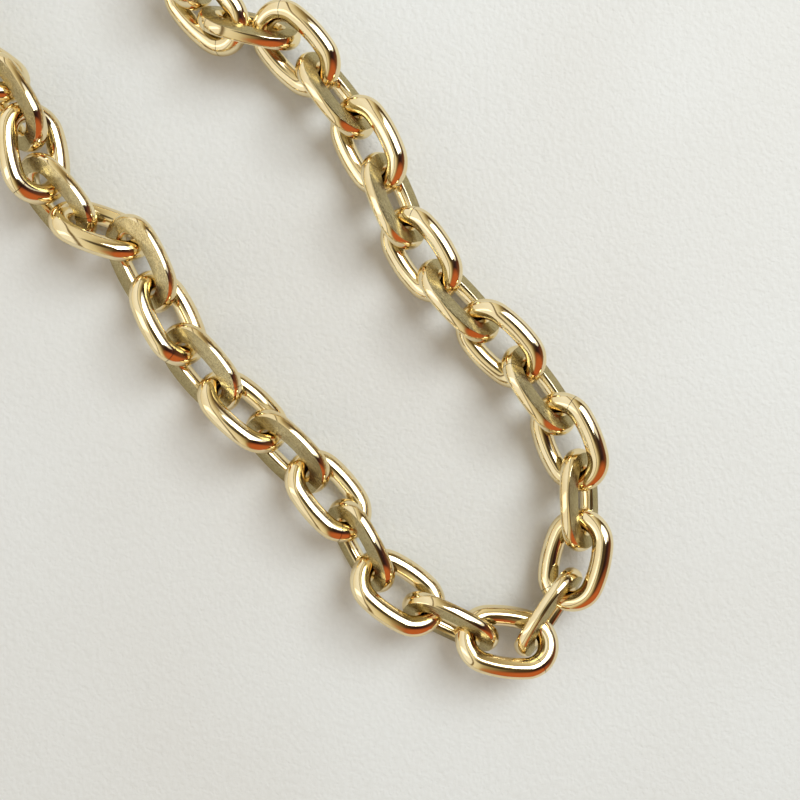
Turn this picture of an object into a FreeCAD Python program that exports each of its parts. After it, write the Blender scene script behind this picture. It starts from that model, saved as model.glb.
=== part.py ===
import FreeCAD, Part
"""Chunky chain necklace, lying unclasped on a table.

Two kinds of oval link alternate: plain links of round wire, and milled links of the same wire whose two
faces carry two shallow planes each. One end has a ring, the other a lobster clasp on a ring of its own.

Frame: millimetres, +Z up, table at Z = 0, origin on the table below the middle of the whole necklace,
+Y from the front of the necklace towards the clasp.
"""

import math
import os

import Sketcher

Vector = FreeCAD.Vector
Rotation = FreeCAD.Rotation
Placement = FreeCAD.Placement
X_AXIS = Vector(1, 0, 0)
Y_AXIS = Vector(0, 1, 0)
Z_AXIS = Vector(0, 0, 1)

# Driving dimensions, in millimetres and degrees.
SIZES = {
    "link_length": 22.55,     # outside, along the link
    "link_width": 15.6,       # outside, across the link
    "wire_diameter": 4.5,     # round wire that both kinds of link are bent from
    "crown_radius": 5.2,      # centreline radius of a link's two ends
    "running_gap": 0.45,      # free play between two hooked pieces
    "ridge_height": 1.85,     # milled face above the wire's middle plane, on the link's long axis
    "milled_tilt": 5.5,       # fall of each milled plane away from that ridge
    "seam_width": 0.12,       # butt seam where the bent wire closes
    "seam_turn": 48.0,        # place of the seam round the crown
    "ring_radius": 5.1,       # centreline radius of the two small rings
    "ring_wire": 1.8,         # wire of the two small rings
    "eye_radius": 2.4,        # centreline radius of the clasp's eye
    "eye_wire": 1.9,          # thickness of the clasp's eye
    "hook_radius": 5.8,       # centreline radius of the clasp's hook
    "hook_wire": 3.4,         # thickness of the clasp's hook
    "hook_reach": 15.0,       # eye to the middle of the hook
    "cheek_length": 7.4,      # block that holds the lever, along the clasp
    "cheek_width": 6.6,
    "cheek_thickness": 4.2,
    "slot_width": 1.9,        # slot for the lever between the two cheeks
    "slot_floor": 2.2,        # thickness of the block below the slot
    "edge_round": 0.7,
    "pivot_reach": 6.6,       # eye to the rivet
    "pivot_side": 1.5,        # rivet off the clasp's middle line
    "rivet_radius": 0.6,
    "rivet_head_radius": 1.0,
    "rivet_head_height": 0.25,
    "rivet_play": 0.05,
    "lever_play": 0.12,       # lever to each cheek
    "lever_width": 2.0,
    "lever_angle": 21.0,      # closed lever against the clasp's middle line
    "lever_length": 8.9,      # rivet to the lever's tip
    "thumb_radius": 1.2,
    "thumb_reach": 3.2,       # rivet to the thumb piece
    "thumb_angle": 112.0,     # thumb piece against the lever's arm
    "spring_thickness": 0.25,
    "spring_foot": 2.4,       # flat part of the leaf spring
    "spring_blade": 2.8,      # raised part of the leaf spring
    "spring_rise": 12.0,
}

# How the chain lies, link by link, from the end ring's side round the front to the clasp:
# heading (anticlockwise from +X), lean (left side up), dip (nose down), slack (beyond a taut hook).
LAY = [
    (281, 36, -8, 0.0),
    (271, -54, -8, 0.0),
    (276, 36, -4, 0.5),
    (250, -55, 0, 1.0),
    (284, 35, 2, 1.5),
    (318, -55, 5, 2.0),
    (284, 32, 5, 1.5),
    (278, -56, 2, 0.0),
    (268, 36, 0, 0.0),
    (262, -54, 0, 0.0),
    (274, 36, 0, 0.0),
    (283, -54, 0, 0.0),
    (285, 36, 0, 0.0),
    (276, -54, 0, 0.0),
    (262, 34, 0, 0.0),
    (242, -56, 0, 0.0),
    (226, 28, 0, 0.0),
    (206, -65, 0, 0.1),
    (142, 24, 0, 0.1),
    (124, -60, 0, 0.0),
    (115, 30, 0, 0.0),
    (88, -58, 0, 0.0),
    (100, 36, 0, 0.0),
    (106, -47, 0, 0.0),
    (108, 47, 0, 0.0),
    (101, -41, 0, 0.0),
    (86, 50, 0, 0.0),
    (86, -38, -4, 0.0),
    (130, 52, -6, 0.6),
    (100, -44, -2, 1.0),
    (68, 42, 0, 2.0),
    (92, -48, 0, 1.5),
    (118, 42, 0, 1.5),
    (90, -50, 0, 1.5),
    (72, 40, 2, 0.5),
    (82, -50, 2, 0.0),
    (72, 40, 2, 0.0),
]
END_RING_LAY = (276, -54, -14, 0.0)
CLASP_RING_LAY = (66, -60, 12, 0.0)
CLASP_LAY = (52, 14, 9, 0.0)

CUT_MARGIN = 1.0              # how far a cutter runs past what it cuts


def make_sheet(doc):
    """Spreadsheet with one alias for each driving dimension."""
    sheet = doc.addObject("Spreadsheet::Sheet", "Sizes")
    for row, (name, value) in enumerate(SIZES.items(), start=1):
        sheet.set(f"A{row}", name)
        sheet.set(f"B{row}", str(value))
        sheet.setAlias(f"B{row}", name)
    doc.recompute()
    return sheet


def bind(thing, **expressions):
    """Bind properties to sheet cells; a word such as wire_diameter stands for its cell."""
    for path, expression in expressions.items():
        for name in sorted(SIZES, key=len, reverse=True):
            expression = expression.replace(name, "<<" + name + ">>")
        for name in SIZES:
            expression = expression.replace("<<" + name + ">>", "Sizes." + name)
        thing.setExpression(path.replace("__", "."), expression)
    return thing


def origin_plane(body, role):
    return next(plane for plane in body.Origin.OriginFeatures if plane.Role == role)


def new_sketch(body, name, role):
    sketch = body.newObject("Sketcher::SketchObject", name)
    sketch.AttachmentSupport = [(origin_plane(body, role), "")]
    sketch.MapMode = "FlatFace"
    return sketch


def named(sketch, name, constraint, expression):
    """Add a constraint with a name and bind it to the sheet."""
    index = sketch.addConstraint(constraint)
    sketch.renameConstraint(index, name)
    bind(sketch, **{f"Constraints__{name}": expression})


# ---------------------------------------------------------------------------------------------- links

def oval_spine(body, size):
    """Closed oval of four tangent arcs: two crowns of crown_radius and two long bowed legs."""
    half_length = (size.link_length - size.wire_diameter) / 2
    half_width = (size.link_width - size.wire_diameter) / 2
    crown = size.crown_radius
    crown_x = half_length - crown
    leg = (crown_x ** 2 + half_width ** 2 - crown ** 2) / (2 * (half_width - crown))
    leg_y = leg - half_width
    turn = math.atan2(leg_y, crown_x)
    sketch = new_sketch(body, "Spine", "XY_Plane")
    arcs = [
        (crown_x, 0, crown, -turn, turn),
        (0, -leg_y, leg, turn, math.pi - turn),
        (-crown_x, 0, crown, math.pi - turn, math.pi + turn),
        (0, leg_y, leg, math.pi + turn, 2 * math.pi - turn),
    ]
    for x, y, radius, start, end in arcs:
        circle = Part.Circle(Vector(x, y, 0), Z_AXIS, radius)
        sketch.addGeometry(Part.ArcOfCircle(circle, start, end), False)
    start_point, end_point, centre, x_line = 1, 2, 3, -1
    for first, second in ((0, 1), (1, 2), (2, 3), (3, 0)):
        sketch.addConstraint(Sketcher.Constraint("Tangent", first, end_point, second, start_point))
    sketch.addConstraint(Sketcher.Constraint("PointOnObject", 0, centre, x_line))
    sketch.addConstraint(Sketcher.Constraint("PointOnObject", 2, centre, x_line))
    sketch.addConstraint(Sketcher.Constraint("Equal", 0, 2))
    sketch.addConstraint(Sketcher.Constraint("Equal", 1, 3))
    named(sketch, "crown", Sketcher.Constraint("Radius", 0, crown), "crown_radius")
    reach = "(link_length - wire_diameter) / 2 - crown_radius"
    named(sketch, "crown_right", Sketcher.Constraint("DistanceX", x_line, start_point, 0, centre, crown_x), reach)
    named(sketch, "crown_left", Sketcher.Constraint("DistanceX", 2, centre, x_line, start_point, crown_x), reach)
    half = "(link_width - wire_diameter) / 2"
    formula = f"(({reach}) ^ 2 + ({half}) ^ 2 - crown_radius ^ 2) / (2 * ({half} - crown_radius))"
    named(sketch, "leg", Sketcher.Constraint("Radius", 1, leg), formula)
    return sketch


def wire_profile(body, size):
    """Wire section at the crown's apex."""
    reach = (size.link_length - size.wire_diameter) / 2
    sketch = new_sketch(body, "Section", "XZ_Plane")
    sketch.addGeometry(Part.Circle(Vector(reach, 0, 0), Z_AXIS, size.wire_diameter / 2), False)
    centre, x_line, origin = 3, -1, 1
    sketch.addConstraint(Sketcher.Constraint("PointOnObject", 0, centre, x_line))
    named(sketch, "wire", Sketcher.Constraint("Diameter", 0, size.wire_diameter), "wire_diameter")
    named(sketch, "apex", Sketcher.Constraint("DistanceX", x_line, origin, 0, centre, reach),
          "(link_length - wire_diameter) / 2")
    return sketch


def bent_wire_link(doc, size, name):
    """Oval link of round wire, cut through once where the bent wire's two ends meet."""
    body = doc.addObject("PartDesign::Body", name)
    spine = oval_spine(body, size)
    section = wire_profile(body, size)
    doc.recompute()
    ring = body.newObject("PartDesign::AdditivePipe", "BentWire")
    ring.Profile = section
    ring.Spine = (spine, ["Edge1", "Edge2", "Edge3", "Edge4"])
    seam = body.newObject("PartDesign::SubtractiveBox", "Seam")
    bind(seam, Length="2 * wire_diameter", Width="seam_width", Height="2 * wire_diameter")
    crown_x = (size.link_length - size.wire_diameter) / 2 - size.crown_radius
    corner = Vector(size.crown_radius - size.wire_diameter, -size.seam_width / 2, -size.wire_diameter)
    seam.AttachmentSupport = [(origin_plane(body, "XY_Plane"), "")]
    seam.MapMode = "FlatFace"
    turned = Placement(Vector(crown_x, 0, 0), Rotation(Z_AXIS, size.seam_turn))
    seam.AttachmentOffset = turned * Placement(corner, Rotation())
    return body


def mill_faces(body, size):
    """Cut two shallow planes on each face; they meet in a ridge along the link's length."""
    for face in (1, -1):
        for side in (1, -1):
            cutter = body.newObject("PartDesign::SubtractiveBox", f"Facet{face + 1}{side + 1}")
            bind(cutter, Length=f"link_length + {2 * CUT_MARGIN}", Width=f"link_width / 2 + {2 * CUT_MARGIN}",
                 Height="wire_diameter")
            cutter.AttachmentSupport = [(origin_plane(body, "XY_Plane"), "")]
            cutter.MapMode = "FlatFace"
            facing = Rotation(X_AXIS, 0 if face > 0 else 180)
            turned = facing * Rotation(Z_AXIS, 0 if side > 0 else 180) * Rotation(X_AXIS, -size.milled_tilt)
            corner = Vector(-size.link_length / 2 - CUT_MARGIN, -CUT_MARGIN, 0)
            ridge = facing.multVec(Vector(0, 0, size.ridge_height))
            cutter.AttachmentOffset = Placement(ridge, turned) * Placement(corner, Rotation())
    return body


def copy_of(doc, pattern, label):
    """Body that repeats a pattern link."""
    body = doc.addObject("PartDesign::Body", label)
    base = body.newObject("PartDesign::FeatureBase", "Pattern")
    base.BaseFeature = pattern
    body.Label = label
    return body


# ------------------------------------------------------------------------------------ rings and clasp

def small_ring(doc, label):
    ring = doc.addObject("Part::Torus", label)
    bind(ring, Radius1="ring_radius", Radius2="ring_wire / 2")
    ring.Label = label
    return ring


def box(doc, name, corner, turn=0.0, pivot=Vector(), **sides):
    """Part box with bound sides; its corner is turned about +Z round a pivot."""
    made = doc.addObject("Part::Box", name)
    bind(made, **sides)
    made.Placement = Placement(pivot, Rotation(Z_AXIS, turn)) * Placement(corner, Rotation())
    return made


def pillar(doc, name, radius, height, at, tall):
    """Part cylinder along +Z with bound radius and height, centred on a point."""
    made = doc.addObject("Part::Cylinder", name)
    bind(made, Radius=radius, Height=height)
    made.Placement.Base = Vector(at.x, at.y, at.z - tall / 2)
    return made


def clasp_body(doc, size):
    """Lobster clasp's body: eye, slotted block and open hook, with a hole for the rivet."""
    eye = bind(doc.addObject("Part::Torus", "Eye"), Radius1="eye_radius", Radius2="eye_wire / 2")
    hook_from, hook_to = -160.0, 72.0
    hook = doc.addObject("Part::Torus", "Hook")
    bind(hook, Radius1="hook_radius", Radius2="hook_wire / 2")
    hook.Angle3 = hook_to - hook_from
    hook.Placement = Placement(Vector(size.hook_reach, 0, 0), Rotation(Z_AXIS, hook_from))
    tip = doc.addObject("Part::Sphere", "HookTip")
    bind(tip, Radius="hook_wire / 2")
    end = math.radians(hook_to)
    tip.Placement.Base = Vector(size.hook_reach + size.hook_radius * math.cos(end),
                                size.hook_radius * math.sin(end), 0)
    block_start = size.eye_radius - size.eye_wire / 4
    block_side = -size.cheek_width / 2
    block = box(doc, "Block", Vector(block_start, block_side, -size.cheek_thickness / 2),
                Length="cheek_length", Width="cheek_width", Height="cheek_thickness")
    doc.recompute()
    rounded = doc.addObject("Part::Fillet", "RoundedBlock")
    rounded.Base = block
    rounded.Edges = [(index + 1, size.edge_round, size.edge_round) for index in range(len(block.Shape.Edges))]
    whole = doc.addObject("Part::MultiFuse", "ClaspWhole")
    whole.Shapes = [eye, rounded, hook, tip]
    slot = box(doc, "Slot", Vector(block_start + size.eye_wire / 2, block_side + size.slot_floor, -size.slot_width / 2),
               Length="cheek_length + hook_wire", Width="cheek_width", Height="slot_width")
    hole = pillar(doc, "RivetHole", "rivet_radius", f"cheek_thickness + {CUT_MARGIN}", pivot_point(size),
                  size.cheek_thickness + CUT_MARGIN)
    cutters = doc.addObject("Part::MultiFuse", "ClaspCutters")
    cutters.Shapes = [slot, hole]
    body = doc.addObject("Part::Cut", "clasp_body")
    body.Base = whole
    body.Tool = cutters
    return body


def pivot_point(size):
    return Vector(size.pivot_reach, size.pivot_side, 0)


def clasp_lever(doc, size):
    """Lever that closes the hook: barrel on the rivet, arm, and a thumb piece outside the block."""
    pivot = pivot_point(size)
    thickness = "slot_width - 2 * lever_play"
    thick = size.slot_width - 2 * size.lever_play
    barrel = pillar(doc, "LeverBarrel", "lever_width / 2 + rivet_play", thickness, pivot, thick)
    arm = box(doc, "LeverArm", Vector(0, -size.lever_width / 2, -thick / 2), size.lever_angle, pivot,
              Length="lever_length", Width="lever_width", Height=thickness)
    stem = box(doc, "LeverStem", Vector(0, -size.lever_width / 2, -thick / 2),
               size.lever_angle + size.thumb_angle, pivot,
               Length="thumb_reach", Width="lever_width", Height=thickness)
    bearing = math.radians(size.lever_angle + size.thumb_angle)
    thumb_at = pivot + Vector(math.cos(bearing), math.sin(bearing), 0) * size.thumb_reach
    thumb = pillar(doc, "Thumb", "thumb_radius", thickness, thumb_at, thick)
    whole = doc.addObject("Part::MultiFuse", "LeverWhole")
    whole.Shapes = [barrel, arm, stem, thumb]
    bore = pillar(doc, "LeverBore", "rivet_radius + rivet_play", f"slot_width + {CUT_MARGIN}", pivot,
                  size.slot_width + CUT_MARGIN)
    lever = doc.addObject("Part::Cut", "clasp_lever")
    lever.Base = whole
    lever.Tool = bore
    return lever


def clasp_rivet(doc, size):
    """Rivet with a low head on each cheek."""
    pivot = pivot_point(size)
    shank = pillar(doc, "RivetShank", "rivet_radius", "cheek_thickness", pivot, size.cheek_thickness)
    heads = []
    for side in (1, -1):
        at = pivot + Z_AXIS * side * (size.cheek_thickness + size.rivet_head_height) / 2
        heads.append(pillar(doc, f"RivetHead{side + 1}", "rivet_head_radius", "rivet_head_height", at,
                            size.rivet_head_height))
    rivet = doc.addObject("Part::MultiFuse", "clasp_rivet")
    rivet.Shapes = [shank] + heads
    return rivet


def clasp_spring(doc, size):
    """Bent leaf spring on the slot's floor: a flat foot and a blade that rises towards the lever."""
    floor_y = -size.cheek_width / 2 + size.slot_floor
    start = size.eye_radius + size.eye_wire / 4 + size.edge_round
    width = "slot_width - 2 * lever_play"
    half = size.slot_width / 2 - size.lever_play
    foot = box(doc, "SpringFoot", Vector(start, floor_y, -half), Length="spring_foot",
               Width="spring_thickness", Height=width)
    bend = Vector(start + size.spring_foot - size.spring_thickness, floor_y, 0)
    blade = box(doc, "SpringBlade", Vector(0, 0, -half), size.spring_rise, bend, Length="spring_blade",
                Width="spring_thickness", Height=width)
    spring = doc.addObject("Part::MultiFuse", "clasp_spring")
    spring.Shapes = [foot, blade]
    return spring


# ------------------------------------------------------------------------------------------- the lay

def attitude(heading, lean, dip):
    return Rotation(Z_AXIS, heading) * Rotation(Y_AXIS, dip) * Rotation(X_AXIS, lean)


def hook_on(back, front, slack, size):
    """Centre of the front piece, hooked through the back one.

    Each piece is (centre, attitude, reach to its crown's wire, wire). The two crown wires cross, and lie
    apart along the line that is square to both.
    """
    back_centre, back_turn, back_reach, back_wire = back
    front_turn, front_reach, front_wire = front
    back_along = back_turn.multVec(X_AXIS)
    front_along = front_turn.multVec(X_AXIS)
    pull = back_turn.multVec(Y_AXIS).cross(front_turn.multVec(Y_AXIS))
    pull.normalize()
    if pull.dot(back_along + front_along) < 0:
        pull = -pull
    apart = (back_wire + front_wire) / 2 + size.running_gap + slack
    return back_centre + back_along * back_reach + front_along * front_reach - pull * apart


def lay_chain(rows, size):
    """Placements of hooked pieces: rows of (lay, reach, wire), the first at the origin."""
    placements = []
    last = None
    for (heading, lean, dip, slack), reach, wire in rows:
        turn = attitude(heading, lean, dip)
        centre = Vector() if last is None else hook_on(last, (turn, reach, wire), slack, size)
        placements.append(Placement(centre, turn))
        last = (centre, turn, reach, wire)
    return placements


def seam_flip(number):
    """Turn a link end for end or face for face, which moves its seam, in a repeating order of four."""
    return (Rotation(), Rotation(X_AXIS, 180), Rotation(Z_AXIS, 180), Rotation(Y_AXIS, 180))[number % 4]


class Sizes:
    """Sheet values as plain numbers."""

    def __init__(self, sheet):
        for name in SIZES:
            setattr(self, name, float(sheet.get(name)))


def build():
    doc = FreeCAD.newDocument("chain_necklace")
    size = Sizes(make_sheet(doc))
    plain = bent_wire_link(doc, size, "PlainPattern")
    milled = mill_faces(bent_wire_link(doc, size, "MilledPattern"), size)
    doc.recompute()

    link_reach = (size.link_length - size.wire_diameter) / 2
    rows = [(END_RING_LAY, size.ring_radius, size.ring_wire)]
    rows += [(lay, link_reach, size.wire_diameter) for lay in LAY]
    rows += [(CLASP_RING_LAY, size.ring_radius, size.ring_wire), (CLASP_LAY, size.eye_radius, size.eye_wire)]
    placements = lay_chain(rows, size)

    parts = [small_ring(doc, "end_ring")]
    for number in range(1, len(LAY) + 1):
        milled_one = number % 2 == 0
        kind = "milled" if milled_one else "plain"
        parts.append(copy_of(doc, milled if milled_one else plain, f"link_{number:02d}_{kind}"))
        placements[number] = placements[number] * Placement(Vector(), seam_flip(number))
    parts.append(small_ring(doc, "clasp_ring"))
    clasp = [clasp_body(doc, size), clasp_lever(doc, size), clasp_rivet(doc, size), clasp_spring(doc, size)]
    placements += [placements[-1]] * (len(clasp) - 1)
    parts += clasp
    for part, placement in zip(parts, placements):
        part.Placement = placement
    doc.recompute()

    whole = FreeCAD.BoundBox()
    for part in parts:
        whole.add(part.Shape.optimalBoundingBox(False))
    shift = Vector(-whole.Center.x, -whole.Center.y, -whole.ZMin)
    for part in parts:
        part.Placement = Placement(shift, Rotation()) * part.Placement
    doc.recompute()
    return doc, parts


def check(doc, parts):
    for item in doc.Objects:
        if {"Invalid", "Error"} & set(item.State):
            raise RuntimeError(f"{item.Label} failed: {item.State}")
    for part in parts:
        shape = part.Shape
        if shape.isNull() or not shape.isValid() or len(shape.Solids) != 1:
            raise RuntimeError(f"{part.Label} isn't one valid solid")


def export(parts):
    os.makedirs("parts", exist_ok=True)
    for part in parts:
        part.Shape.exportStep(os.path.join("parts", part.Label + ".step"))
        box_of = part.Shape.BoundBox
        print(f"{part.Label:18s} {part.Shape.Volume:8.1f} mm3  z {box_of.ZMin:6.2f} to {box_of.ZMax:6.2f}")


document, pieces = build()
check(document, pieces)
export(pieces)
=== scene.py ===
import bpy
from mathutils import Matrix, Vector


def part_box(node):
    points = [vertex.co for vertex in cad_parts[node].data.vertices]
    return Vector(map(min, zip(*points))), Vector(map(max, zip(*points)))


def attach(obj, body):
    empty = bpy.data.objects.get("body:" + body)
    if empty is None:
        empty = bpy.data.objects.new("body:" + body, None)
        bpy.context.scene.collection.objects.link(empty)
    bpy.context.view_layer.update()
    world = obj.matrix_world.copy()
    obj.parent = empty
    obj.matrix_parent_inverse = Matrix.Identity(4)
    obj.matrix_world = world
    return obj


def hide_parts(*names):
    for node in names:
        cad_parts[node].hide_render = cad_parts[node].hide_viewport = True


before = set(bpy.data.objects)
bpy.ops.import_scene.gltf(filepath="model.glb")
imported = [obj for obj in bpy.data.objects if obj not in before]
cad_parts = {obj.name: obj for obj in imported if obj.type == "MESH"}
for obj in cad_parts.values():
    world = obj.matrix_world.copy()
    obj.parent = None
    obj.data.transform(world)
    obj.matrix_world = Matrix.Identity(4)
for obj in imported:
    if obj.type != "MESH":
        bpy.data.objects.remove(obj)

"""A gold-tone chain necklace of plain and milled oval links, lying on a pale grained surface.

All lengths are metres, in the same frame as the CAD part: +Z up, table at Z = 0.
"""

import enum
import logging
import math
from dataclasses import dataclass, field

import bpy
import numpy as np
from mathutils import Matrix, Vector

LOG = logging.getLogger("necklace")
MM = 0.001
ROOT_NODE = "link_20_milled"

# Material slots of a boolean cutter and of the link that it cuts.
MILLED_SLOT = 1
SHEARED_SLOT = 2

Linear = tuple[float, float, float, float]
Socket = bpy.types.NodeSocket


def linear(hex_colour: str) -> Linear:
    """Turn an sRGB hex colour into the linear colour a shader takes.

    Args:
        hex_colour: Colour such as "#EBD3A0".

    Returns:
        Linear red, green and blue, with alpha 1.
    """
    parts = [int(hex_colour[index:index + 2], 16) / 255 for index in (1, 3, 5)]
    turned = [part / 12.92 if part <= 0.04045 else ((part + 0.055) / 1.055) ** 2.4 for part in parts]
    return (turned[0], turned[1], turned[2], 1.0)


# ------------------------------------------------------------------------------------------ materials


class NodeGraph:
    """A node tree with one helper that adds nodes."""

    def __init__(self, tree: bpy.types.NodeTree) -> None:
        """Take over a tree and empty it."""
        self.tree = tree
        tree.nodes.clear()

    def add(self, kind: str, inputs: dict | None = None, **settings: object) -> bpy.types.Node:
        """Add a node, apply its settings, then fill or link its inputs.

        Args:
            kind: Blender's node type name.
            inputs: Socket name or index to a plain value or to another node's output socket.
            settings: Node properties such as operation="MULTIPLY".

        Returns:
            The new node.
        """
        node = self.tree.nodes.new(kind)
        for name, value in settings.items():
            setattr(node, name, value)
        for key, value in (inputs or {}).items():
            if isinstance(value, bpy.types.NodeSocket):
                self.tree.links.new(value, node.inputs[key])
            else:
                node.inputs[key].default_value = value
        return node

    def ramp(self, factor: Socket, stops: list[tuple[float, Linear]]) -> Socket:
        """Add a colour ramp.

        Args:
            factor: Socket that drives the ramp.
            stops: Position and linear colour of each stop, in order.

        Returns:
            The ramp's colour socket.
        """
        node = self.add("ShaderNodeValToRGB", {"Fac": factor})
        elements = node.color_ramp.elements
        while len(elements) > 1:
            elements.remove(elements[-1])
        elements[0].position, elements[0].color = stops[0]
        for position, colour in stops[1:]:
            elements.new(position).color = colour
        return node.outputs["Color"]

    def remap(self, value: Socket, low: float, high: float, to_low: float, to_high: float) -> Socket:
        """Map a value from one range to another, clamped.

        Args:
            value: Socket to map.
            low: Value that becomes to_low.
            high: Value that becomes to_high.
            to_low: Result at the low end.
            to_high: Result at the high end.

        Returns:
            The mapped value's socket.
        """
        node = self.add("ShaderNodeMapRange", {"Value": value, "From Min": low, "From Max": high,
                                               "To Min": to_low, "To Max": to_high})
        return node.outputs["Result"]

    def mix(self, factor: Socket, first: Socket | Linear, second: Socket | Linear,
            blend: str = "MIX") -> Socket:
        """Mix two colours.

        Args:
            factor: Share of the second colour.
            first: Colour at factor 0.
            second: Colour at factor 1.
            blend: Blender's name of the way to mix.

        Returns:
            The mixed colour's socket.
        """
        # A mix node has one set of sockets for each data type, so its colours go by number.
        node = self.add("ShaderNodeMix", {0: factor, 6: first, 7: second}, data_type="RGBA",
                        blend_type=blend)
        return node.outputs[2]

    def calculate(self, operation: str, *values: Socket | float) -> Socket:
        """Add a maths node.

        Args:
            operation: Blender's name of the operation.
            values: Its inputs, in order.

        Returns:
            The result's socket.
        """
        return self.add("ShaderNodeMath", dict(enumerate(values)), operation=operation).outputs[0]

    def noise(self, vector: Socket, per_metre: float, detail: float = 4.0,
              roughness: float = 0.55) -> Socket:
        """Add fractal noise.

        Args:
            vector: Place the noise is read at, in metres.
            per_metre: Features per metre.
            detail: Octaves.
            roughness: Share each octave keeps of the one before.

        Returns:
            The noise's value socket, 0 to 1.
        """
        node = self.add("ShaderNodeTexNoise", {"Vector": vector, "Scale": per_metre, "Detail": detail,
                                               "Roughness": roughness})
        return node.outputs["Fac"]

    def finish(self, shader: Socket, kind: str = "ShaderNodeOutputMaterial") -> None:
        """Link the finished shader to the output."""
        self.add(kind, {"Surface": shader})


class Grain(enum.Enum):
    """How a metal surface was finished."""

    POLISHED = "polished"
    MILLED = "milled"
    RAW = "raw"


# Patches about 8 mm across, where the colour took a little darker.
PATCHES_PER_METRE = 130.0
# Haze left by handling, a few millimetres across.
HAZE_PER_METRE = 420.0
# Hairlines from tumbling, about a millimetre long and less than a tenth wide.
HAIRLINES_PER_METRE = 900.0
HAIRLINE_STRETCH = (1.0, 14.0, 1.0)
HAIRLINE_TURN = (0.5, 0.9, 0.4)
HAIRLINE_DEPTH = 0.004 * MM
# Cutter marks about 9 mm long: turn from the link's length in radians, and length over width.
CUTTER_MARKS = ((0.05, 30.0), (0.35, 18.0), (-0.25, 22.0))
CUTTER_MARKS_PER_METRE = 110.0
# Torn grains about 0.13 mm across, and the part of the relief that they make by themselves.
TORN_GRAINS_PER_METRE = 7800.0
TORN_GRAIN_SHARE = 0.45
MILLED_DEPTH = 0.02 * MM


@dataclass(frozen=True)
class MetalFinish:
    """Gold-tone metal, named by the real material and process.

    Attributes:
        name: Material name.
        colour: sRGB colour of the reflection, face on.
        edge: sRGB tint at grazing angles.
        tarnish: sRGB colour of the slightly darker patches.
        roughness: Lowest and highest roughness.
        grain: How the surface was finished.
        scratch: Strength of the fine scratches, 0 to 1.
    """

    name: str
    colour: str
    edge: str
    tarnish: str
    roughness: tuple[float, float]
    grain: Grain
    scratch: float = 0.2

    def build(self) -> bpy.types.Material:
        """Make the material, unless it was made before.

        Returns:
            The material, one for each name.
        """
        made = bpy.data.materials.get(self.name)
        if made:
            return made
        made = bpy.data.materials.new(self.name)
        made.use_nodes = True
        graph = NodeGraph(made.node_tree)
        place = graph.add("ShaderNodeTexCoord")
        here = place.outputs["Object"]
        patches = graph.noise(here, PATCHES_PER_METRE, detail=3.0)
        tarnished = graph.remap(patches, low=0.42, high=0.72, to_low=0.0, to_high=0.5)
        colour = graph.mix(tarnished, linear(self.colour), linear(self.tarnish))
        haze = graph.noise(here, HAZE_PER_METRE, detail=5.0)
        rough = graph.remap(haze, low=0.3, high=0.7, to_low=self.roughness[0], to_high=self.roughness[1])
        if self.grain is Grain.MILLED:
            height, colour, rough = self._milled(graph, place.outputs["UV"], here, colour, rough)
            depth = MILLED_DEPTH
        else:
            height = self._hairlines(graph, here)
            depth = HAIRLINE_DEPTH
        bump = graph.add("ShaderNodeBump", {"Strength": self.scratch, "Distance": depth, "Height": height})
        shader = graph.add("ShaderNodeBsdfPrincipled", {
            "Base Color": colour, "Metallic": 1.0, "Roughness": rough, "Normal": bump.outputs["Normal"],
            "Specular Tint": linear(self.edge)})
        graph.finish(shader.outputs["BSDF"])
        return made

    @staticmethod
    def _hairlines(graph: NodeGraph, here: Socket) -> Socket:
        """Draw the fine scratches of a polished surface.

        Args:
            graph: Material's node graph.
            here: Place on the piece, in metres.

        Returns:
            Height socket, 0 to 1.
        """
        turned = graph.add("ShaderNodeMapping", {"Vector": here, "Rotation": HAIRLINE_TURN,
                                                 "Scale": HAIRLINE_STRETCH})
        lines = graph.noise(turned.outputs["Vector"], HAIRLINES_PER_METRE, detail=2.0, roughness=0.7)
        return graph.remap(lines, low=0.62, high=0.8, to_low=0.0, to_high=1.0)

    def _milled(self, graph: NodeGraph, flat: Socket, here: Socket, colour: Socket,
                rough: Socket) -> tuple[Socket, Socket, Socket]:
        """Draw marks along the link, crossing scratches and the sparkle of torn metal grains.

        Args:
            graph: Material's node graph.
            flat: Place on the cut plane, from its own map.
            here: Place on the piece, in metres.
            colour: Colour before the grains.
            rough: Roughness before the marks.

        Returns:
            Height, colour and roughness sockets.
        """
        passes = []
        for turn, stretch in CUTTER_MARKS:
            turned = graph.add("ShaderNodeMapping", {"Vector": flat, "Rotation": (0.0, 0.0, turn),
                                                     "Scale": (1.0, stretch, 1.0)})
            passes.append(graph.noise(turned.outputs["Vector"], CUTTER_MARKS_PER_METRE, roughness=0.75))
        marks = graph.calculate("ADD", graph.calculate("ADD", passes[0], passes[1]), passes[2])
        grains = graph.add("ShaderNodeTexVoronoi", {"Vector": here, "Scale": TORN_GRAINS_PER_METRE},
                           feature="F1")
        speck = graph.remap(grains.outputs["Color"], low=0.25, high=0.8, to_low=0.0, to_high=1.0)
        height = graph.calculate("MULTIPLY_ADD", speck, TORN_GRAIN_SHARE,
                                 graph.calculate("MULTIPLY", marks, speck))
        darkened = graph.remap(speck, low=0.4, high=1.0, to_low=0.0, to_high=0.7)
        tone = graph.mix(darkened, colour, linear(self.tarnish))
        wear = graph.remap(marks, low=1.1, high=1.9, to_low=-0.05, to_high=0.09)
        return height, tone, graph.calculate("ADD", rough, wear)


# Anodised aluminium wire, tumble polished; nearly a mirror.
POLISHED_WIRE = MetalFinish("anodised_aluminium_tumble_polished", "#F3E3BB", "#FFF8E6", "#E0C78E",
                            (0.05, 0.11), Grain.POLISHED, 0.15)
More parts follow.
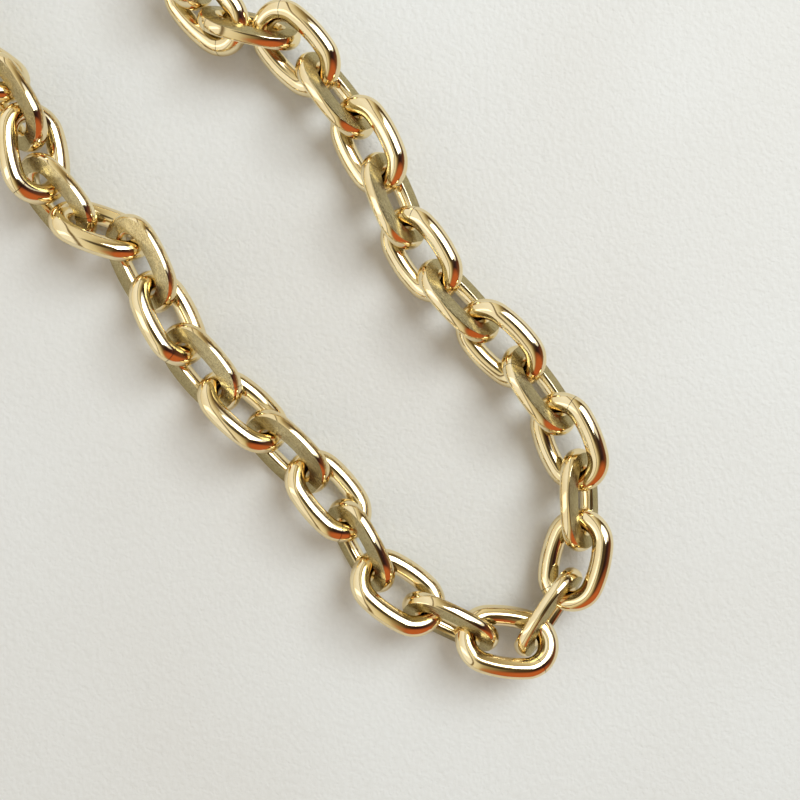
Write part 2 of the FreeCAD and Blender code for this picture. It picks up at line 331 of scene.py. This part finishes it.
# The two shallow planes cut on each face of a link after bending: duller, cooler and finely scratched.
MILLED_FACE = MetalFinish("anodised_aluminium_fly_cut", "#BFB28A", "#F4EBD0", "#7A6A44", (0.17, 0.27),
                          Grain.MILLED, 0.35)
# Sheared wire ends inside the butt seam.
SHEARED_END = MetalFinish("aluminium_sheared", "#6B5638", "#8A7350", "#2E2418", (0.35, 0.5), Grain.RAW, 0.4)
# Cast and plated clasp.
PLATED_CASTING = MetalFinish("brass_casting_gold_plated", "#EFD79B", "#FFF3D0", "#D2AF6B", (0.07, 0.14),
                             Grain.POLISHED, 0.25)
# Drawn and plated ring wire.
PLATED_WIRE = MetalFinish("brass_wire_gold_plated", "#F1DCA4", "#FFF4D6", "#D4B474", (0.06, 0.12),
                          Grain.POLISHED, 0.2)
# Rivet and leaf spring of the clasp.
BRIGHT_STEEL = MetalFinish("spring_steel_bright_rolled", "#D5D0C6", "#FFFFFF", "#A39C8E", (0.14, 0.24),
                           Grain.POLISHED, 0.3)


@dataclass(frozen=True)
class TableFinish:
    """Pale embossed card with a fine leather grain.

    Attributes:
        name: Material name.
        light: sRGB colour of the paler patches.
        shade: sRGB colour of the darker patches and the pores.
        cell: Size of a cell of the grain.
        wander: How far the cells' walls wander.
        relief: Height of the grain.
        firmness: How strongly the relief turns the light, 0 to 1.
        bends_per_metre: Bends along the walls.
        fibres_per_metre: Paper fibres.
        patches_per_metre: Patches of tone.
        fibre_share: Share of the relief that the fibres make.
    """

    name: str = "card_leather_embossed"
    light: str = "#ECEDEB"
    shade: str = "#E6E5E1"
    cell: float = 1.0 * MM
    wander: float = 1.6 * MM
    relief: float = 0.25 * MM
    firmness: float = 0.5
    bends_per_metre: float = 500.0
    fibres_per_metre: float = 2600.0
    patches_per_metre: float = 9.0
    fibre_share: float = 0.35

    def build(self) -> bpy.types.Material:
        """Make the material.

        Returns:
            The material of the table top.
        """
        made = bpy.data.materials.new(self.name)
        made.use_nodes = True
        graph = NodeGraph(made.node_tree)
        here = graph.add("ShaderNodeTexCoord").outputs["Object"]
        bends = graph.noise(here, self.bends_per_metre, detail=3.0)
        drift = graph.add("ShaderNodeVectorMath", {0: bends, "Scale": self.wander}, operation="SCALE")
        moved = graph.add("ShaderNodeVectorMath", {0: here, 1: drift.outputs[0]}, operation="ADD")
        cells = graph.add("ShaderNodeTexVoronoi", {"Vector": moved.outputs[0], "Scale": 1 / self.cell},
                          feature="SMOOTH_F1").outputs["Distance"]
        fibres = graph.noise(here, self.fibres_per_metre, detail=3.0)
        patches = graph.noise(here, self.patches_per_metre, detail=2.0)
        shaded = graph.remap(patches, low=0.35, high=0.65, to_low=0.0, to_high=1.0)
        colour = graph.mix(shaded, linear(self.light), linear(self.shade))
        pores = graph.remap(cells, low=0.35, high=0.8, to_low=0.0, to_high=0.12)
        colour = graph.mix(pores, colour, linear(self.shade), "MULTIPLY")
        height = graph.calculate("MULTIPLY_ADD", fibres, self.fibre_share, cells)
        bump = graph.add("ShaderNodeBump", {"Strength": self.firmness, "Distance": self.relief,
                                            "Height": height})
        rough = graph.remap(fibres, low=0.3, high=0.7, to_low=0.5, to_high=0.62)
        shader = graph.add("ShaderNodeBsdfPrincipled", {
            "Base Color": colour, "Roughness": rough, "Specular IOR Level": 0.3,
            "Normal": bump.outputs["Normal"]})
        graph.finish(shader.outputs["BSDF"])
        return made


# ------------------------------------------------------------------------------------- modelling helpers


def select_only(piece: bpy.types.Object) -> None:
    """Deselect everything, then select one object and make it active.

    Args:
        piece: Object to select.
    """
    bpy.ops.object.select_all(action="DESELECT")
    piece.select_set(True)
    bpy.context.view_layer.objects.active = piece


def apply_modifier(piece: bpy.types.Object, kind: str, **settings: object) -> None:
    """Add a modifier and apply it.

    Args:
        piece: Object that gets it.
        kind: Blender's name of the modifier.
        settings: Modifier properties such as segments=2.
    """
    select_only(piece)
    modifier = piece.modifiers.new(kind.lower(), kind)
    for name, value in settings.items():
        setattr(modifier, name, value)
    bpy.ops.object.modifier_apply(modifier=modifier.name)


def smooth(piece: bpy.types.Object, angle: float) -> None:
    """Shade smooth, with edges sharper than an angle in degrees left crisp."""
    select_only(piece)
    bpy.ops.object.shade_smooth_by_angle(angle=math.radians(angle))


def remove(piece: bpy.types.Object) -> None:
    """Delete an object."""
    bpy.data.objects.remove(piece, do_unlink=True)


# Points closer than this are one point.
MERGE_DISTANCE = 0.001 * MM
# Segments of a rounded edge.
EDGE_SEGMENTS = 2


class SeamSide(enum.Enum):
    """Which quarter of the link holds its seam, as a half turn of the whole link."""

    AHEAD_LEFT = Matrix.Identity(4)
    AHEAD_RIGHT = Matrix.Rotation(math.pi, 4, "X")
    BEHIND_RIGHT = Matrix.Rotation(math.pi, 4, "Z")
    BEHIND_LEFT = Matrix.Rotation(math.pi, 4, "Y")

    @classmethod
    def of(cls, number: int) -> "SeamSide":
        """Seam side of the link with that number; the four sides repeat in order."""
        return list(cls)[number % len(cls)]


@dataclass
class OvalLink:
    """Link bent from round wire into an oval and butted shut.

    Attributes:
        length: Outside length.
        width: Outside width.
        wire: Wire diameter.
        crown: Centreline radius of the two ends.
        seam: Width of the butt seam.
        seam_turn: Place of the seam round the crown, in degrees.
        steps: Facets along each crown, and round the wire.
        milled: Whether both faces are cut with two shallow planes.
        ridge: Height above the wire's middle at which the two planes meet.
        tilt: Fall of each plane from that ridge, in degrees.
        run_out: How far the face cutter reaches past the link.
        edge_round: Width of the rounding along the cut edges.
        edge_angle: Edges sharper than this are rounded, in degrees.
        crease: Edges sharper than this stay crisp, in degrees.
        finishes: Finish of the wire, of the cut planes and inside the seam.
    """

    length: float = 22.55 * MM
    width: float = 15.6 * MM
    wire: float = 4.5 * MM
    crown: float = 5.2 * MM
    seam: float = 0.12 * MM
    seam_turn: float = 48.0
    steps: tuple[int, int] = (40, 44)
    milled: bool = False
    ridge: float = 1.85 * MM
    tilt: float = 5.5
    run_out: float = 1.0 * MM
    edge_round: float = 0.1 * MM
    edge_angle: float = 28.0
    crease: float = 40.0
    finishes: list[MetalFinish] = field(default_factory=lambda: [POLISHED_WIRE, MILLED_FACE, SHEARED_END])

    def pattern(self) -> bpy.types.Object:
        """Model one link at the origin, long side along X and face up.

        Returns:
            The link, whose copies are laid along the chain.
        """
        name = "milled_link_pattern" if self.milled else "plain_link_pattern"
        link = self._bent_wire(name)
        if self.milled:
            for face in (0.0, 180.0):
                for side in (0.0, 180.0):
                    self._cut(link, self._face_cutter(face, side))
            apply_modifier(link, "BEVEL", width=self.edge_round, segments=EDGE_SEGMENTS, limit_method="ANGLE",
                           angle_limit=math.radians(self.edge_angle), harden_normals=False)
        self._cut(link, self._seam_cutter())
        smooth(link, self.crease)
        return link

    @property
    def reach(self) -> float:
        """Distance from the link's middle to a crown's centre."""
        return (self.length - self.wire) / 2 - self.crown

    def _bent_wire(self, name: str) -> bpy.types.Object:
        """Sweep round wire along two crowns and two bowed legs.

        Args:
            name: Name of the new object.

        Returns:
            The closed wire.
        """
        reach = self.reach
        half = (self.width - self.wire) / 2
        leg = (reach ** 2 + half ** 2 - self.crown ** 2) / (2 * (half - self.crown))
        turn = math.atan2(leg - half, reach)
        arcs = [((reach, 0.0), self.crown, -turn, turn), ((0.0, half - leg), leg, turn, math.pi - turn),
                ((-reach, 0.0), self.crown, math.pi - turn, math.pi + turn),
                ((0.0, leg - half), leg, math.pi + turn, 2 * math.pi - turn)]
        route: list[tuple[float, float, float]] = []
        for (x, y), radius, start, end in arcs:
            count = self.steps[0] if radius < leg else self.steps[0] // 2
            for step in range(count):
                angle = start + (end - start) * step / count
                route.append((x + radius * math.cos(angle), y + radius * math.sin(angle), 0.0))
        curve = bpy.data.curves.new(name, "CURVE")
        curve.dimensions = "3D"
        curve.bevel_depth = self.wire / 2
        curve.bevel_resolution = self.steps[1] // 2 - 1
        spline = curve.splines.new("POLY")
        spline.points.add(len(route) - 1)
        for point, place in zip(spline.points, route):
            point.co = (*place, 1.0)
        spline.use_cyclic_u = True
        link = bpy.data.objects.new(name, curve)
        bpy.context.collection.objects.link(link)
        select_only(link)
        bpy.ops.object.convert(target="MESH")
        link = bpy.context.view_layer.objects.active
        link.data.materials.clear()
        for finish in self.finishes:
            link.data.materials.append(finish.build())
        bpy.ops.object.mode_set(mode="EDIT")
        bpy.ops.mesh.select_all(action="SELECT")
        bpy.ops.mesh.remove_doubles(threshold=MERGE_DISTANCE)
        bpy.ops.mesh.normals_make_consistent(inside=False)
        bpy.ops.object.mode_set(mode="OBJECT")
        return link

    def _cutter(self, size: tuple[float, float, float], slot: int) -> bpy.types.Object:
        """Make a box with its lowest corner at the origin, whose faces carry one finish and a flat map.

        Args:
            size: Its sides.
            slot: Material slot of its faces.

        Returns:
            The box.
        """
        bpy.ops.object.select_all(action="DESELECT")
        bpy.ops.mesh.primitive_cube_add(size=1.0)
        box = bpy.context.view_layer.objects.active
        box.scale = size
        bpy.ops.object.transform_apply(location=False, rotation=False, scale=True)
        for finish in self.finishes:
            box.data.materials.append(finish.build())
        bpy.ops.object.mode_set(mode="EDIT")
        bpy.ops.mesh.select_all(action="SELECT")
        box.active_material_index = slot
        bpy.ops.object.material_slot_assign()
        bpy.ops.transform.translate(value=tuple(side / 2 for side in size))
        bpy.ops.uv.cube_project(cube_size=1.0, correct_aspect=False, scale_to_bounds=False)
        bpy.ops.object.mode_set(mode="OBJECT")
        return box

    def _face_cutter(self, face: float, side: float) -> bpy.types.Object:
        """Make the cutter for one shallow plane.

        Args:
            face: 0 for the upper face of the link, 180 for the lower.
            side: 0 for one leg, 180 for the other.

        Returns:
            The box, in place.
        """
        over = self.run_out
        box = self._cutter((self.length + 2 * over, self.width / 2 + 2 * over, self.wire), MILLED_SLOT)
        corner = Matrix.Translation((-self.length / 2 - over, -over, 0.0))
        facing = Matrix.Rotation(math.radians(face), 4, "X")
        tilted = Matrix.Rotation(math.radians(-self.tilt), 4, "X")
        turned = Matrix.Rotation(math.radians(side), 4, "Z") @ tilted
        box.matrix_world = facing @ Matrix.Translation((0.0, 0.0, self.ridge)) @ turned @ corner
        return box

    def _seam_cutter(self) -> bpy.types.Object:
        """Make the cutter for the butt seam.

        Returns:
            The box, in place.
        """
        box = self._cutter((2 * self.wire, self.seam, 2 * self.wire), SHEARED_SLOT)
        corner = Matrix.Translation((self.crown - self.wire, -self.seam / 2, -self.wire))
        turned = Matrix.Rotation(math.radians(self.seam_turn), 4, "Z")
        box.matrix_world = Matrix.Translation((self.reach, 0.0, 0.0)) @ turned @ corner
        return box

    @staticmethod
    def _cut(link: bpy.types.Object, cutter: bpy.types.Object) -> None:
        """Cut a link with a box, whose finish stays on the cut faces.

        Args:
            link: Link to cut.
            cutter: Box, which is deleted afterwards.
        """
        bpy.context.view_layer.update()
        apply_modifier(link, "BOOLEAN", operation="DIFFERENCE", object=cutter, solver="EXACT",
                       material_mode="INDEX")
        remove(cutter)


class Solid:
    """Middle and principal directions of a CAD node, from the volume its mesh encloses."""

    def __init__(self, node: str) -> None:
        """Measure a node.

        Args:
            node: CAD node name.
        """
        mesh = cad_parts[node].data
        mesh.calc_loop_triangles()
        points = np.array([vertex.co for vertex in mesh.vertices])
        corners = points[np.array([triangle.vertices for triangle in mesh.loop_triangles])]
        # Each triangle and the origin span a tetrahedron: its volume, its middle at a quarter of the sum
        # of its corners, and its second moments with the usual factor of a twentieth.
        volume = np.einsum("ij,ij->i", corners[:, 0], np.cross(corners[:, 1], corners[:, 2])) / 6
        total = volume.sum()
        sums = corners.sum(axis=1)
        self.centre = (volume[:, None] * sums / 4).sum(axis=0) / total
        second = np.einsum("i,ij,ik->jk", volume, sums, sums)
        second += np.einsum("i,icj,ick->jk", volume, corners, corners)
        spread = second / 20 / total - np.outer(self.centre, self.centre)
        _, vectors = np.linalg.eigh(spread)
        self.along, self.across, self.normal = vectors[:, 2], vectors[:, 1], vectors[:, 0]

    def placement(self, travel: np.ndarray) -> Matrix:
        """Find how a pattern link lies on the node: X along the chain's travel, Z on the upper side.

        Args:
            travel: Direction in which the chain runs there.

        Returns:
            Matrix from the pattern's place to the node's.
        """
        along = self.along * math.copysign(1.0, float(self.along @ travel))
        normal = self.normal * math.copysign(1.0, float(self.normal[2]))
        across = np.cross(normal, along)
        turned = Matrix((along, across, normal)).transposed().to_4x4()
        return Matrix.Translation(self.centre) @ turned


@dataclass
class Chain:
    """All the oval links, each modelled in full and laid over its CAD node.

    Attributes:
        plain: Link of fully round wire.
        milled: Link with milled faces.
    """

    plain: OvalLink = field(default_factory=OvalLink)
    milled: OvalLink = field(default_factory=lambda: OvalLink(milled=True, crease=24.0))

    def build(self) -> None:
        """Lay a copy of the right pattern over every link node."""
        nodes = sorted(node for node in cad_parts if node.startswith("link_"))
        solids = {node: Solid(node) for node in nodes}
        patterns = {"plain": self.plain.pattern(), "milled": self.milled.pattern()}
        for index, node in enumerate(nodes):
            before = solids[nodes[max(index - 1, 0)]].centre
            after = solids[nodes[min(index + 1, len(nodes) - 1)]].centre
            _, number, kind = node.split("_")
            copy = patterns[kind].copy()
            copy.data = copy.data.copy()
            copy.name = f"oval_{node}"
            bpy.context.collection.objects.link(copy)
            copy.data.transform(solids[node].placement(after - before) @ SeamSide.of(int(number)).value)
            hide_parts(node)
            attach(copy, f"link_{number}")
            LOG.info("laid %s", copy.name)
        for pattern in patterns.values():
            remove(pattern)


@dataclass
class Findings:
    """Rings, clasp, lever, rivet and spring: the CAD solids with rounded edges and plated finishes.

    Attributes:
        finishes: Finish of each CAD node.
        rounded: Nodes whose edges are rounded.
        edge_round: Width of that rounding.
        crease: Edges sharper than this stay crisp, in degrees.
    """

    finishes: dict[str, MetalFinish] = field(default_factory=lambda: {
        "end_ring": PLATED_WIRE, "clasp_ring": PLATED_WIRE, "clasp_body": PLATED_CASTING,
        "clasp_lever": PLATED_CASTING, "clasp_rivet": BRIGHT_STEEL, "clasp_spring": BRIGHT_STEEL})
    rounded: tuple[str, ...] = ("clasp_lever", "clasp_rivet")
    edge_round: float = 0.15 * MM
    crease: float = 30.0

    def build(self) -> None:
        """Dress every finding's CAD node."""
        for node, finish in self.finishes.items():
            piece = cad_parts[node]
            piece.data.materials.clear()
            piece.data.materials.append(finish.build())
            smooth(piece, self.crease)
            if node in self.rounded:
                bevel = piece.modifiers.new("worn_edges", "BEVEL")
                bevel.width = self.edge_round
                bevel.segments = EDGE_SEGMENTS
                bevel.limit_method = "ANGLE"
            LOG.info("dressed %s", node)


# ------------------------------------------------------------------------------------------------ stage


@dataclass(frozen=True)
class Lamp:
    """Rectangular lamp.

    Attributes:
        name: Lamp's name.
        towards: Its direction from the necklace: the view's right, the view's top, and up.
        distance: How far off it hangs.
        size: Width and height.
        power: Watts.
        colour: sRGB colour.
    """

    name: str
    towards: tuple[float, float, float]
    distance: float
    size: tuple[float, float]
    power: float
    colour: str


@dataclass(frozen=True)
class RoomPatch:
    """Round patch of the room that the metal reflects.

    Attributes:
        towards: Its direction from the necklace: the view's right, the view's top, and up.
        fringe: Cosine of the angle from that direction at which the patch has faded out.
        core: Cosine of the angle inside which it is full.
        share: How much of the room behind it covers at its core.
        colour: sRGB colour.
    """

    towards: tuple[float, float, float]
    fringe: float
    core: float
    share: float
    colour: str


LAMPS = (
    Lamp("window", (0.62, 0.45, 1.0), 1.1, (0.55, 0.75), 8.6, "#F1FAFF"),
    Lamp("fill", (-0.9, -0.2, 0.7), 1.2, (0.3, 0.9), 1.0, "#FFF3E0"))
# Colours of the room from one wall to the other: pale wall, window frame, pale wall, shaded wall, dark corner
# and copper curtain.
WALL_TO_WALL = (0.96, -0.28, 0.0)
ROOM_BANDS = (
    (0.0, "#F3EAD6"), (0.17, "#FFFEFA"), (0.3, "#FFFBF0"), (0.315, "#6E5A3A"), (0.335, "#7A6644"),
    (0.35, "#F6EED8"), (0.45, "#DDD2B2"), (0.53, "#A39068"), (0.62, "#54402A"), (0.74, "#2A1A16"),
    (0.86, "#3C2226"), (1.0, "#7A4A30"))
HORIZON = "#C9BCA0"
# Wooden furniture, the bright pane and the dark ceiling, each laid over the one before.
ROOM_PATCHES = (
    RoomPatch((0.4, -0.85, 0.35), 0.72, 0.9, 0.95, "#C4683A"),
    RoomPatch((0.75, 0.55, 0.75), 0.93, 0.95, 1.0, "#FFFFFF"),
    RoomPatch((0.0, 0.0, 1.0), 0.966, 0.99, 0.9, "#2A1E14"))
# What the camera sees past the table, and the room's light on matt surfaces.
BACKDROP = "#F3F0EB"
ROOM_LIGHT = "#FFF4E6"
ROOM_LIGHT_STRENGTH = 0.45


@dataclass
class Studio:
    """Pale table, soft window light from one side, a weak fill across from it, and the camera.

    Attributes:
        twist: Turn of the view's right-hand side from +X, in degrees.
        aim: Point above which the camera hangs, from the front link's middle.
        height: Camera above the table.
        view_angle: Camera's field of view, in degrees.
        nearest: Distance from the camera at which the view starts.
        table_size: Side of the square table top.
    """

    twist: float = -30.0
    aim: tuple[float, float] = (14.6 * MM, 47.1 * MM)
    height: float = 230.0 * MM
    view_angle: float = 42.8
    nearest: float = 10.0 * MM
    table_size: float = 6.0

    def direction(self, towards: tuple[float, float, float]) -> Vector:
        """Turn a direction given from the camera's view into one on the table.

        Args:
            towards: The view's right, the view's top, and up from the table.

        Returns:
            Unit vector from the necklace.
        """
        return (Matrix.Rotation(math.radians(self.twist), 3, "Z") @ Vector(towards)).normalized()

    def table(self) -> None:
        """Lay the table."""
        bpy.ops.object.select_all(action="DESELECT")
        bpy.ops.mesh.primitive_plane_add(size=self.table_size)
        top = bpy.context.view_layer.objects.active
        top.name = "table_top"
        top.data.materials.append(TableFinish().build())

    def lights(self) -> None:
        """Hang the lamps, facing the necklace."""
        for lamp in LAMPS:
            data = bpy.data.lights.new(lamp.name, "AREA")
            data.shape = "RECTANGLE"
            data.size, data.size_y = lamp.size
            data.energy = lamp.power
            data.color = linear(lamp.colour)[:3]
            hung = bpy.data.objects.new(lamp.name, data)
            bpy.context.collection.objects.link(hung)
            towards = self.direction(lamp.towards)
            hung.location = towards * lamp.distance
            hung.rotation_euler = (-towards).to_track_quat("-Z", "Y").to_euler()

    def world(self) -> None:
        """Make the room that the metal reflects: bright window side, warm wood below, dark ceiling above."""
        world = bpy.data.worlds.new("room")
        bpy.context.scene.world = world
        world.use_nodes = True
        graph = NodeGraph(world.node_tree)
        here = graph.add("ShaderNodeTexCoord").outputs["Generated"]

        def nearness(towards: tuple[float, float, float]) -> Socket:
            """Cosine of the angle between a direction and the point of the room looked at."""
            return graph.add("ShaderNodeVectorMath", {0: here, 1: tuple(self.direction(towards))},
                             operation="DOT_PRODUCT").outputs["Value"]

        across = graph.remap(nearness(WALL_TO_WALL), low=-1.0, high=1.0, to_low=0.0, to_high=1.0)
        room = graph.ramp(across, [(place, linear(colour)) for place, colour in ROOM_BANDS])
        low = graph.remap(nearness((0.0, 0.0, 1.0)), low=0.02, high=0.2, to_low=0.6, to_high=0.0)
        room = graph.mix(low, room, linear(HORIZON))
        for patch in ROOM_PATCHES:
            share = graph.remap(nearness(patch.towards), low=patch.fringe, high=patch.core, to_low=0.0,
                                to_high=patch.share)
            room = graph.mix(share, room, linear(patch.colour))
        path = graph.add("ShaderNodeLightPath")
        seen = graph.add("ShaderNodeBackground", {"Color": linear(BACKDROP), "Strength": 1.0})
        lit = graph.add("ShaderNodeBackground", {"Color": linear(ROOM_LIGHT),
                                                 "Strength": ROOM_LIGHT_STRENGTH})
        gloss = graph.add("ShaderNodeBackground", {"Color": room, "Strength": 1.0})
        first = graph.add("ShaderNodeMixShader", {0: path.outputs["Is Glossy Ray"], 1: lit.outputs[0],
                                                  2: gloss.outputs[0]})
        both = graph.add("ShaderNodeMixShader", {0: path.outputs["Is Camera Ray"], 1: first.outputs[0],
                                                 2: seen.outputs[0]})
        graph.finish(both.outputs[0], "ShaderNodeOutputWorld")

    def camera(self) -> None:
        """Hang the camera straight above the table."""
        low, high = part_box(ROOT_NODE)
        middle = (low + high) / 2
        data = bpy.data.cameras.new("camera")
        data.angle = math.radians(self.view_angle)
        data.clip_start = self.nearest
        camera = bpy.data.objects.new("camera", data)
        bpy.context.collection.objects.link(camera)
        camera.location = (middle.x + self.aim[0], middle.y + self.aim[1], self.height)
        camera.rotation_euler = (0.0, 0.0, math.radians(self.twist))
        bpy.context.scene.camera = camera

    def build(self) -> None:
        """Set up the stage."""
        self.table()
        self.lights()
        self.world()
        self.camera()
        bpy.context.scene.view_settings.view_transform = "Standard"
        LOG.info("stage ready")


def main() -> None:
    """Build the necklace piece by piece, then the stage."""
    logging.basicConfig(level=logging.INFO, format="%(message)s")
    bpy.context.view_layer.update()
    Chain().build()
    Findings().build()
    Studio().build()


if __name__ == "__main__":
    main()
